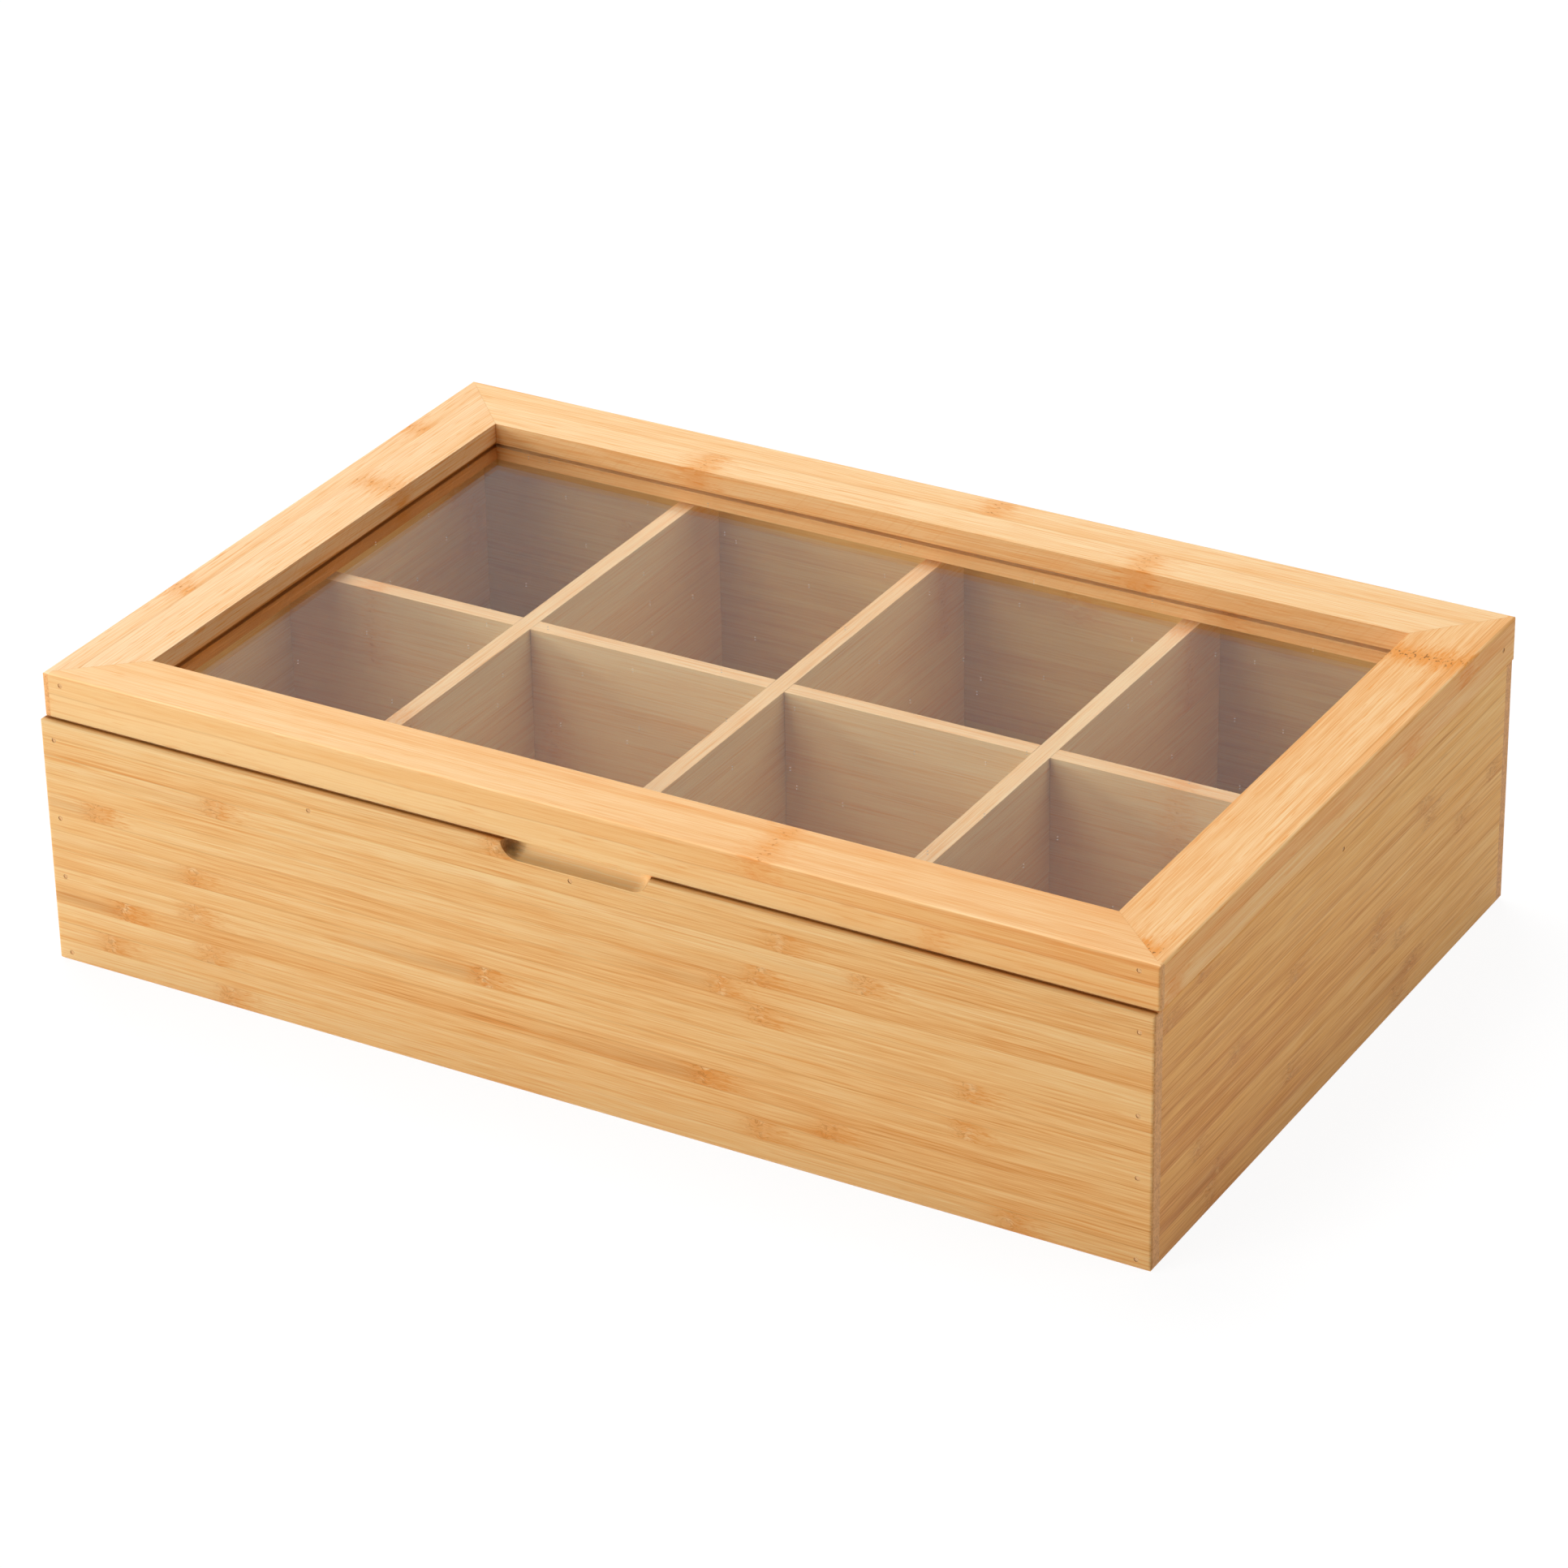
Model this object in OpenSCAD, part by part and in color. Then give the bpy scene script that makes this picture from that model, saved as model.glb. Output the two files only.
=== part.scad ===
// Compartment box with a hinged window lid.
// Eight equal cells, a framed clear pane, two stop hinges and wire brads.
// Millimetres, +Z up, X along the long side, front face towards -Y.
// The origin is the middle of the underside.

/* [Box] */
// Width of the box, along X
box_width = 316; // [250:1:400]
// Depth of the box, along Y
box_depth = 205; // [160:1:260]
// Height of the rim above the surface it stands on
box_height = 70.4; // [55:0.1:100]
// Thickness of the four walls
wall_thickness = 8; // [7:0.5:12]
// Thickness left at the ends of the front and back walls, which lap over the side walls
lap_thickness = 4; // [2.5:0.5:5]
// Rounding of the box's outer edges
edge_radius = 0.8; // [0.4:0.1:1.5]
// Rounding of the box's bottom corners
foot_radius = 1.7; // [0.8:0.1:3]

/* [Dividers] */
// Thickness of the dividers
divider_thickness = 5; // [3:0.5:7]
// How far the dividers' tops lie below the rim
divider_drop = 0.5; // [0.2:0.1:3]
// Play at each side of a halved joint
halving_play = 0.1; // [0.05:0.05:0.3]

/* [Floor] */
// Thickness of the floor panel
floor_thickness = 4; // [3:0.5:6]
// Wood left outside the rebate that the floor panel is let into
rebate_wall = 5; // [4.6:0.1:6]
// Play between the floor panel's edges and the rebate
floor_play = 0.2; // [0.1:0.05:0.4]

/* [Finger notch] */
// Radius of the round cutter that makes the notch
notch_radius = 5; // [4:0.5:6]
// Depth of the notch below the rim, at the front face
notch_drop = 4.2; // [2:0.1:5]
// Length of the notch along the rim
notch_length = 42.2; // [25:0.1:70]
// Place of the notch's middle along X
notch_middle = 1.2; // [-20:0.1:20]

/* [Lid] */
// Thickness of the lid's frame
lid_thickness = 12; // [11:0.5:16]
// Air between the rim and the closed lid
lid_gap = 0.4; // [0.3:0.1:1]
// How far the lid's front edge lies behind the front wall's face
lid_setback = 1.8; // [0:0.1:3.5]
// How far the lid sits towards +X
lid_shift = 0.4; // [-1:0.1:1]
// Width of the front rail
front_rail_width = 18.5; // [15:0.1:30]
// Width of the back rail
back_rail_width = 21.7; // [15:0.1:30]
// Width of the left rail
left_rail_width = 21.1; // [15:0.1:30]
// Width of the right rail
right_rail_width = 20.2; // [15:0.1:30]
// Lip of each rail that covers its neighbour's end outside the mitre
mitre_lip = 1.9; // [1:0.1:4]
// Rounding of the lid's outer edges
lid_edge_radius = 0.9; // [0.4:0.1:2]

/* [Window] */
// Thickness of the clear pane
pane_thickness = 2; // [1.5:0.5:3]
// Height of the pane's upper face above the lid's underside
pane_top = 5.7; // [4.5:0.1:7]
// How far the pane runs into the rails
pane_inlet = 4.5; // [2.5:0.5:8]
// Play between the pane's edge and the bottom of its groove
pane_edge_play = 0.5; // [0.2:0.1:1]
// Play above the pane in its groove
pane_top_play = 0.4; // [0.2:0.1:0.8]

/* [Brads] */
// Heights of the two lower brads at each corner
lower_brad_heights = [3, 25.5]; // [2:0.1:30]
// Distances of the two upper corner brads below the rim
upper_brad_drops = [27.9, 5.4]; // [4:0.1:30]
// Distance of the corner brads from the side faces
corner_brad_inset = 4; // [3:0.1:4]
// Diameter of the wire brads
brad_diameter = 1.2; // [1:0.1:1.6]
// Length of the wire brads
brad_length = 18; // [14:1:22]
// How deep the brads' heads are sunk
brad_sink = 0.15; // [0.05:0.05:0.5]
// Play around a brad in its hole
brad_play = 0.05; // [0.02:0.01:0.1]
// Height of the divider brads below the rim
divider_brad_drop = 5.9; // [4:0.1:15]
// Distance of the lid's front brads below its top face
front_lid_brad_drop = 2.6; // [2:0.1:4]
// Height of the lid's side brads above its underside
side_lid_brad_height = 5.5; // [2:0.1:9]
// Distance of the front lid brads from the lid's corners
front_lid_brad_inset = 5.6; // [3:0.1:10]
// Distance of the side lid brads from the lid's back corners
side_lid_brad_inset = 7.6; // [3:0.1:10]

/* [Hinges] */
// Distance from each end of the box to the middle of its hinge
hinge_inset = 60; // [40:1:95]
// Length of a hinge along its pin
hinge_length = 25; // [20:1:32]
// Thickness of the hinge leaves
leaf_thickness = 1; // [0.8:0.1:1.5]
// Height of the leaf on the box
box_leaf_height = 12; // [9:0.5:18]
// Height of the leaf on the lid
lid_leaf_height = 10.5; // [8:0.5:11]
// Outer radius of the hinge barrel
barrel_radius = 2; // [1.6:0.1:2.5]
// Radius of the hinge pin
pin_radius = 0.9; // [0.6:0.05:1.1]
// Running clearance around the pin
pin_clearance = 0.05; // [0.02:0.01:0.1]
// Air between neighbouring knuckles, and between the barrel and the wood
knuckle_gap = 0.15; // [0.1:0.05:0.4]
// Opening at which the stop meets the lid's leaf, in degrees
open_angle = 100; // [92:1:110]
// Distance that the stop reaches out behind the pin
stop_reach = 7; // [5:0.5:8]
// Radius of the screws' shanks
screw_radius = 1; // [0.8:0.1:1.2]
// Radius of the screws' heads
screw_head_radius = 1.9; // [1.6:0.1:2.2]
// Length of the screws
screw_length = 6; // [5:0.5:6.5]
// Distance between the two screws of a leaf
screw_spacing = 15; // [12:0.5:20]

/* [Hidden] */
$fn = 48;
overrun = 1;
cell_columns = 4;
cross_names = ["left", "middle", "right"];
// Cross dividers that the front wall is nailed to
front_nailed = [0, 1];
knuckle_count = 5;
// Air around the other leaf's knuckles
leaf_step = 0.3;
pin_head_radius = 1.4;
pin_head_height = 0.5;
stop_thickness = 1.2;
// Air between the stop and the lid's leaf when the lid is fully open
stop_air = 0.06;
screw_play = 0.03;
screw_cross_width = 0.6;
screw_cross_length = 2.2;
screw_cross_depth = 0.5;

right = box_width / 2;
left = -right;
back = box_depth / 2;
front = -back;
inner_x = right - wall_thickness;
inner_y = back - wall_thickness;
rebate_x = right - rebate_wall;
rebate_y = back - rebate_wall;
lap_y = back - lap_thickness;
divider_top = box_height - divider_drop;
halving_height = (floor_thickness + divider_top) / 2;
cell_width = (2 * inner_x - (cell_columns - 1) * divider_thickness) / cell_columns;
cell_pitch = cell_width + divider_thickness;
cross_count = cell_columns - 1;

lid_bottom = box_height + lid_gap;
lid_top = lid_bottom + lid_thickness;
lid_left = left + lid_shift;
lid_right = right + lid_shift;
lid_front = front + lid_setback;
lid_back = back;
window_left = lid_left + left_rail_width;
window_right = lid_right - right_rail_width;
window_front = lid_front + front_rail_width;
window_back = lid_back - back_rail_width;
pane_upper = lid_bottom + pane_top;
pane_lower = pane_upper - pane_thickness;

hinge_x = right - hinge_inset;
hinge_y = back + barrel_radius + knuckle_gap;
hinge_z = box_height + lid_gap / 2;
leaf_face = back + leaf_thickness;
knuckle_length = (hinge_length - (knuckle_count - 1) * knuckle_gap) / knuckle_count;
knuckle_pitch = knuckle_length + knuckle_gap;
bore_radius = pin_radius + pin_clearance;
box_knuckles = [0 : 2 : knuckle_count - 1];
lid_knuckles = [1 : 2 : knuckle_count - 1];
screw_head_depth = screw_head_radius - screw_radius;
box_screw_z = hinge_z - (barrel_radius + leaf_step + box_leaf_height) / 2;
lid_screw_z = hinge_z + (barrel_radius + leaf_step + lid_leaf_height) / 2;

function divider_x(i) = (i - (cross_count - 1) / 2) * cell_pitch;

// Rotations that turn +Z towards each side.
to_back = [-90, 0, 0];
to_front = [90, 0, 0];
to_left = [0, -90, 0];
to_right = [0, 90, 0];

// Each brad is its name, the place where it enters a face, and the way it points.
corner_brad_z = concat(lower_brad_heights, [for (drop = upper_brad_drops) box_height - drop]);
corner_brad_x = right - corner_brad_inset;
divider_brad_z = box_height - divider_brad_drop;
side_lid_brad_y = lid_back - side_lid_brad_inset;
side_lid_brad_z = lid_bottom + side_lid_brad_height;
front_lid_brad_z = lid_top - front_lid_brad_drop;
box_brads = concat(
    [for (i = [0 : len(corner_brad_z) - 1])
        [str("front_left_brad_", i + 1), [-corner_brad_x, front, corner_brad_z[i]], to_back]],
    [for (i = [0 : len(corner_brad_z) - 1])
        [str("front_right_brad_", i + 1), [corner_brad_x, front, corner_brad_z[i]], to_back]],
    [for (i = [0 : len(corner_brad_z) - 1])
        [str("back_left_brad_", i + 1), [-corner_brad_x, back, corner_brad_z[i]], to_front]],
    [for (i = [0 : len(corner_brad_z) - 1])
        [str("back_right_brad_", i + 1), [corner_brad_x, back, corner_brad_z[i]], to_front]],
    [for (i = front_nailed)
        [str("front_", cross_names[i], "_divider_brad"),
         [divider_x(i), front, divider_brad_z], to_back]],
    [for (i = [0 : cross_count - 1])
        [str("back_", cross_names[i], "_divider_brad"),
         [divider_x(i), back, divider_brad_z], to_front]],
    [["left_long_divider_brad", [left, 0, divider_brad_z], to_right],
     ["right_long_divider_brad", [right, 0, divider_brad_z], to_left]]
);
lid_brads = [
    ["lid_front_left_brad", [lid_left + front_lid_brad_inset, lid_front, front_lid_brad_z], to_back],
    ["lid_front_right_brad", [lid_right - front_lid_brad_inset, lid_front, front_lid_brad_z], to_back],
    ["lid_back_right_brad", [lid_right, side_lid_brad_y, side_lid_brad_z], to_left],
    ["lid_back_left_brad", [lid_left, side_lid_brad_y, side_lid_brad_z], to_right]
];

// Each screw is its name and the place of its head.
function leaf_screws(name, hinge_middle, z) =
    [for (i = [0, 1])
        [str(name, "_screw_", i + 1), [hinge_middle + (i - 0.5) * screw_spacing, leaf_face, z]]];
box_screws = concat(leaf_screws("hinge_left_box", -hinge_x, box_screw_z),
                    leaf_screws("hinge_right_box", hinge_x, box_screw_z));
lid_screws = concat(leaf_screws("hinge_left_lid", -hinge_x, lid_screw_z),
                    leaf_screws("hinge_right_lid", hinge_x, lid_screw_z));

// A block given by its low and high corners.
module block(low, high) {
    translate(low) cube(high - low);
}

// A rectangle with its own roundings for the two low and the two high corners.
module soft_rectangle(low, high, low_radius, high_radius) {
    translate([low.x, low.y + low_radius])
        square([high.x - low.x, high.y - low.y - low_radius - high_radius]);
    if (low_radius > 0) {
        translate([low.x + low_radius, low.y])
            square([high.x - low.x - 2 * low_radius, 2 * low_radius]);
        for (x = [low.x + low_radius, high.x - low_radius])
            translate([x, low.y + low_radius]) circle(low_radius);
    }
    if (high_radius > 0) {
        translate([low.x + high_radius, high.y - 2 * high_radius])
            square([high.x - low.x - 2 * high_radius, 2 * high_radius]);
        for (x = [low.x + high_radius, high.x - high_radius])
            translate([x, high.y - high_radius]) circle(high_radius);
    }
}

// A block with rounded upright edges, and its own roundings at the bottom and at the top.
module soft_block(low, high, upright_radius, low_radius, high_radius) {
    intersection() {
        translate([0, 0, low.z]) linear_extrude(high.z - low.z)
            soft_rectangle([low.x, low.y], [high.x, high.y], upright_radius, upright_radius);
        translate([0, high.y, 0]) rotate([90, 0, 0]) linear_extrude(high.y - low.y)
            soft_rectangle([low.x, low.z], [high.x, high.z], low_radius, high_radius);
        translate([low.x, 0, 0]) rotate([90, 0, 90]) linear_extrude(high.x - low.x)
            soft_rectangle([low.y, low.z], [high.y, high.z], low_radius, high_radius);
    }
}

// The outside of the box, from which the four walls are cut.
module box_envelope() {
    soft_block([left, front, 0], [right, back, box_height], edge_radius, foot_radius, edge_radius);
}

// The outside of the lid, from which the four rails are cut.
module lid_envelope() {
    soft_block([lid_left, lid_front, lid_bottom], [lid_right, lid_back, lid_top],
               lid_edge_radius, 0, lid_edge_radius);
}

// A wire brad, its head a little below the face.
module brad(place, heading) {
    color("silver")
        translate(place) rotate(heading) translate([0, 0, brad_sink])
            cylinder(d = brad_diameter, h = brad_length);
}

module brad_holes(brads) {
    for (brad = brads)
        translate(brad[1]) rotate(brad[2]) translate([0, 0, -overrun])
            cylinder(d = brad_diameter + 2 * brad_play, h = overrun + brad_sink + brad_length);
}

// A countersunk shape that points into the wood, with its head's face at the place.
module screw_shape(place, play) {
    translate(place) rotate(to_front) {
        cylinder(r1 = screw_head_radius + play, r2 = screw_radius + play, h = screw_head_depth);
        cylinder(r = screw_radius + play, h = screw_length + play);
    }
}

module screw_holes(screws) {
    for (screw = screws) {
        screw_shape(screw[1], screw_play);
        translate(screw[1]) rotate(to_back) cylinder(r = screw_head_radius + screw_play, h = overrun);
    }
}

module screw(place) {
    color("silver")
        difference() {
            screw_shape(place, 0);
            translate(place) {
                cube([screw_cross_length, 2 * screw_cross_depth, screw_cross_width], center = true);
                cube([screw_cross_width, 2 * screw_cross_depth, screw_cross_length], center = true);
            }
        }
}

// The rebate round the bottom of the walls. The floor panel lies in it, flush with the underside.
module floor_rebate() {
    block([-rebate_x, -rebate_y, -overrun], [rebate_x, rebate_y, floor_thickness]);
}

// The finger notch's cutter: a long round-ended bar that lies over the front wall's top edge.
module notch_cutter() {
    above_rim = notch_radius - notch_drop;
    rim_reach = sqrt(notch_radius * notch_radius - above_rim * above_rim);
    bar_length = notch_length - 2 * rim_reach;
    translate([notch_middle, front, box_height + above_rim]) rotate([0, 90, 0]) {
        cylinder(r = notch_radius, h = bar_length, center = true);
        for (end = [-1, 1])
            translate([0, 0, end * bar_length / 2]) sphere(notch_radius);
    }
}

// The rebates at the ends of the front and back walls, where the side walls run in.
module end_rebates() {
    for (end = [-1, 1])
        translate([end * (inner_x + wall_thickness), 0, box_height / 2])
            cube([2 * wall_thickness, 2 * lap_y, box_height + 2 * overrun], center = true);
}

// A wall that runs the whole width and laps over the side walls. The front wall is at -1.
module long_wall(side) {
    color("burlywood")
        difference() {
            intersection() {
                box_envelope();
                block([left, side < 0 ? front : inner_y, 0],
                      [right, side < 0 ? -inner_y : back, box_height]);
            }
            end_rebates();
            floor_rebate();
            brad_holes(box_brads);
            children();
        }
}

module front_panel() {
    long_wall(-1) notch_cutter();
}

module back_panel() {
    long_wall(1) screw_holes(box_screws);
}

// A wall between the two laps. The left wall is at -1.
module side_wall(side) {
    color("tan")
        difference() {
            intersection() {
                box_envelope();
                block([side < 0 ? left : inner_x, -lap_y, 0],
                      [side < 0 ? -inner_x : right, lap_y, box_height]);
            }
            floor_rebate();
            brad_holes(box_brads);
        }
}

module floor_panel() {
    color("wheat")
        block([floor_play - rebate_x, floor_play - rebate_y, 0],
              [rebate_x - floor_play, rebate_y - floor_play, floor_thickness]);
}

// The divider that runs the whole width. Its slots are open at the top.
module long_divider() {
    slot_half = divider_thickness / 2 + halving_play;
    color("burlywood")
        difference() {
            block([-inner_x, -divider_thickness / 2, floor_thickness],
                  [inner_x, divider_thickness / 2, divider_top]);
            for (i = [0 : cross_count - 1])
                block([divider_x(i) - slot_half, -divider_thickness, halving_height],
                      [divider_x(i) + slot_half, divider_thickness, divider_top + overrun]);
            brad_holes(box_brads);
        }
}

// A divider from front to back. Its slot is open at the bottom.
module cross_divider(i) {
    slot_half = divider_thickness / 2 + halving_play;
    color("burlywood")
        difference() {
            block([divider_x(i) - divider_thickness / 2, -inner_y, floor_thickness],
                  [divider_x(i) + divider_thickness / 2, inner_y, divider_top]);
            block([divider_x(i) - divider_thickness, -slot_half, floor_thickness - overrun],
                  [divider_x(i) + divider_thickness, slot_half, halving_height]);
            brad_holes(box_brads);
        }
}

// Outline of lid rail i, counted from the front rail towards the right one. Its far end shows as
// a lip that covers the next rail's end, and the rest of the corner is a mitre.
function rail_outline(i) =
    let (outer = [[lid_left, lid_front], [lid_right, lid_front],
                  [lid_right, lid_back], [lid_left, lid_back]],
         inner = [[window_left, window_front], [window_right, window_front],
                  [window_right, window_back], [window_left, window_back]],
         along = mitre_lip * [[1, 0], [0, 1], [-1, 0], [0, -1]][i],
         inward = mitre_lip * [[0, 1], [-1, 0], [0, -1], [1, 0]][i],
         next = (i + 1) % 4)
    [outer[i] + along, outer[next], outer[next] + inward, outer[next] + inward - along,
     inner[next], inner[i], outer[i] + along + inward];

// The groove that holds the pane, open towards the window.
module pane_groove() {
    reach = pane_inlet + pane_edge_play;
    block([window_left - reach, window_front - reach, pane_lower],
          [window_right + reach, window_back + reach, pane_upper + pane_top_play]);
}

module lid_rail(i) {
    color("navajowhite")
        difference() {
            intersection() {
                lid_envelope();
                translate([0, 0, lid_bottom - overrun])
                    linear_extrude(lid_thickness + 2 * overrun) polygon(rail_outline(i));
            }
            pane_groove();
            brad_holes(lid_brads);
            children();
        }
}

module window_pane() {
    color("lightcyan", 0.4)
        block([window_left - pane_inlet, window_front - pane_inlet, pane_lower],
              [window_right + pane_inlet, window_back + pane_inlet, pane_upper]);
}

// A round bar on the hinge's axis, from start along +X.
module axis_bar(start, length, radius) {
    translate([start, hinge_y, hinge_z]) rotate([0, 90, 0]) cylinder(r = radius, h = length);
}

function knuckle_start(i) = i * knuckle_pitch - hinge_length / 2;

// A hinge leaf with its knuckles, around the middle of the hinge at x = 0. The plate runs from
// z = low to z = high and makes way for the other leaf's knuckles. Children are joined to it.
module leaf(low, high, own_knuckles, other_knuckles) {
    difference() {
        union() {
            block([-hinge_length / 2, back, low], [hinge_length / 2, leaf_face, high]);
            for (i = own_knuckles)
                axis_bar(knuckle_start(i), knuckle_length, barrel_radius);
            children();
        }
        for (i = other_knuckles)
            axis_bar(knuckle_start(i) - knuckle_gap, knuckle_length + 2 * knuckle_gap,
                     barrel_radius + leaf_step);
        axis_bar(-hinge_length / 2 - overrun, hinge_length + 2 * overrun, bore_radius);
    }
}

// The stop: a tongue on the middle knuckle that the lid's leaf meets when the lid is open.
module stop_tongue() {
    start = knuckle_start((knuckle_count - 1) / 2);
    near = leaf_face - hinge_y + stop_air;
    translate([0, hinge_y, hinge_z]) rotate([-open_angle, 0, 0])
        block([start, near, 0], [start + knuckle_length, near + stop_thickness, stop_reach]);
}

module box_leaf(middle) {
    color("silver")
        difference() {
            translate([middle, 0, 0])
                leaf(hinge_z - box_leaf_height, hinge_z, box_knuckles, lid_knuckles) stop_tongue();
            screw_holes(box_screws);
        }
}

module lid_leaf(middle) {
    color("silver")
        difference() {
            translate([middle, 0, 0])
                leaf(hinge_z, hinge_z + lid_leaf_height, lid_knuckles, box_knuckles);
            screw_holes(lid_screws);
        }
}

module hinge_pin(middle) {
    head_start = hinge_length / 2 + knuckle_gap;
    color("gray")
        translate([middle, 0, 0]) {
            axis_bar(-head_start - pin_head_height, 2 * (head_start + pin_head_height), pin_radius);
            axis_bar(-head_start - pin_head_height, pin_head_height, pin_head_radius);
            axis_bar(head_start, pin_head_height, pin_head_radius);
        }
}

front_panel();
back_panel();
side_wall(-1);  // left_side_panel
side_wall(1);  // right_side_panel
floor_panel();
long_divider();
for (i = [0 : cross_count - 1])
    cross_divider(i);
lid_rail(0);  // lid_front_rail
lid_rail(1);  // lid_right_rail
lid_rail(2) screw_holes(lid_screws);  // lid_back_rail
lid_rail(3);  // lid_left_rail
window_pane();
box_leaf(-hinge_x);  // hinge_left_box_leaf
lid_leaf(-hinge_x);  // hinge_left_lid_leaf
hinge_pin(-hinge_x);  // hinge_left_pin
box_leaf(hinge_x);  // hinge_right_box_leaf
lid_leaf(hinge_x);  // hinge_right_lid_leaf
hinge_pin(hinge_x);  // hinge_right_pin
for (brad = concat(box_brads, lid_brads))
    brad(brad[1], brad[2]);
for (screw = concat(box_screws, lid_screws))
    screw(screw[1]);
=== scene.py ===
import math
import random
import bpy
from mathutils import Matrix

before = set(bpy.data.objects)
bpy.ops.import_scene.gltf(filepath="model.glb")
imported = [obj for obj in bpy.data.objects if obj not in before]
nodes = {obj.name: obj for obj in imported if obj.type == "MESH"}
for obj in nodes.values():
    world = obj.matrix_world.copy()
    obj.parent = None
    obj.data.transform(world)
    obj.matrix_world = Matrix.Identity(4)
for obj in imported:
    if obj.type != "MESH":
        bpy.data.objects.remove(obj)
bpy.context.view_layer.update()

from types import SimpleNamespace

import bpy
from mathutils import Quaternion, Vector

# Bamboo compartment box with a window lid. The frame is in metres, +Z up, front towards -Y.
# The wood's patterns are worked in millimetres along, across and into each board.

scene = bpy.context.scene
scene.view_settings.view_transform = "Standard"
print("frame loaded:", len(nodes), "pieces")


def tint(red, green, blue):  # a screen colour, 0 to 255, as the linear colour that shaders take
    def linear(value):
        share = value / 255
        return share / 12.92 if share <= 0.04045 else ((share + 0.055) / 1.055) ** 2.4
    return (linear(red), linear(green), linear(blue), 1.0)


def addNode(tree, kind, **settings):
    node = tree.nodes.new("ShaderNode" + kind)
    for key, value in settings.items():
        setattr(node, key, value)
    return node


def plug(tree, socket, value):
    if isinstance(value, bpy.types.NodeSocket):
        tree.links.new(value, socket)
    else:
        socket.default_value = value


def calc(tree, operation, *values):
    node = addNode(tree, "Math", operation=operation)
    for socket, value in zip(node.inputs, values):
        plug(tree, socket, value)
    return node.outputs[0]


def total(tree, *values):
    result = values[0]
    for value in values[1:]:
        result = calc(tree, "ADD", result, value)
    return result


def product(tree, *values):
    result = values[0]
    for value in values[1:]:
        result = calc(tree, "MULTIPLY", result, value)
    return result


def centred(tree, value):  # a noise from 0 to 1, moved to swing about 0
    return calc(tree, "SUBTRACT", value, 0.5)


def ramp(tree, value, low, high, first=0.0, last=1.0):  # a smooth step from low to high
    node = addNode(tree, "MapRange", interpolation_type="SMOOTHSTEP")
    for name, setting in (("From Min", low), ("From Max", high), ("To Min", first), ("To Max", last)):
        node.inputs[name].default_value = setting
    plug(tree, node.inputs["Value"], value)
    return node.outputs[0]


def hump(tree, value, width, middle=0.0):  # 1 at the middle, and 0.37 at the width from it
    distance = calc(tree, "SUBTRACT", value, middle) if middle else value
    ratio = calc(tree, "DIVIDE", distance, width)
    return calc(tree, "EXPONENT", product(tree, ratio, ratio, -1.0))


def place(tree, x, y, z):
    node = addNode(tree, "CombineXYZ")
    for socket, value in zip(node.inputs, (x, y, z)):
        plug(tree, socket, value)
    return node.outputs[0]


def scaled(tree, points, pace):
    return place(tree, *[calc(tree, "MULTIPLY", point, pace) for point in points])


def noise(tree, spot, detail=2.0, roughness=0.5):
    node = addNode(tree, "TexNoise", noise_dimensions="3D")
    plug(tree, node.inputs["Vector"], spot)
    node.inputs["Scale"].default_value = 1.0
    node.inputs["Detail"].default_value = detail
    node.inputs["Roughness"].default_value = roughness
    return node.outputs["Fac"]


def blend(tree, share, first, second, mode="MIX"):  # the node itself keeps the share between 0 and 1
    node = addNode(tree, "Mix", data_type="RGBA", blend_type=mode)
    plug(tree, node.inputs[0], share)
    plug(tree, node.inputs[6], first)
    plug(tree, node.inputs[7], second)
    return node.outputs[2]


def addBump(tree, shader, height, strength, metres):
    bump = addNode(tree, "Bump")
    bump.inputs["Strength"].default_value = strength
    bump.inputs["Distance"].default_value = metres
    tree.links.new(height, bump.inputs["Height"])
    tree.links.new(bump.outputs[0], shader.inputs["Normal"])


def newFinish(name):
    finish = bpy.data.materials.new(name)
    finish.use_nodes = True
    tree = finish.node_tree
    tree.nodes.clear()
    output = addNode(tree, "OutputMaterial")
    shader = addNode(tree, "BsdfPrincipled")
    tree.links.new(shader.outputs[0], output.inputs[0])
    return finish, tree, shader


def mixShaders(tree, output, share, first, second):
    mix = addNode(tree, "MixShader")
    plug(tree, mix.inputs[0], share)
    tree.links.new(first.outputs[0], mix.inputs[1])
    tree.links.new(second.outputs[0], mix.inputs[2])
    tree.links.new(mix.outputs[0], output.inputs[0])


def dress(nodeName, finish):
    mesh = nodes[nodeName].data
    mesh.materials.clear()
    mesh.materials.append(finish)


def millimetres(tree):  # where the surface is, and the way it faces, in the piece's own frame
    coordinate = addNode(tree, "TexCoord")
    spot = addNode(tree, "SeparateXYZ")
    tree.links.new(coordinate.outputs["Object"], spot.inputs[0])
    facing = addNode(tree, "SeparateXYZ")
    tree.links.new(coordinate.outputs["Normal"], facing.inputs[0])
    return [calc(tree, "MULTIPLY", out, 1000.0) for out in spot.outputs], list(facing.outputs)


def faces(tree, normal, low=0.6, high=0.8):  # 1 where the surface faces along this axis, either way
    return ramp(tree, calc(tree, "ABSOLUTE", normal), low, high)


farAway = 900.0  # the place of a joint that a strip doesn't have
tableReach = 1000.0  # places from -1000 to 1000 mm fit in a table's colour channels


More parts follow.
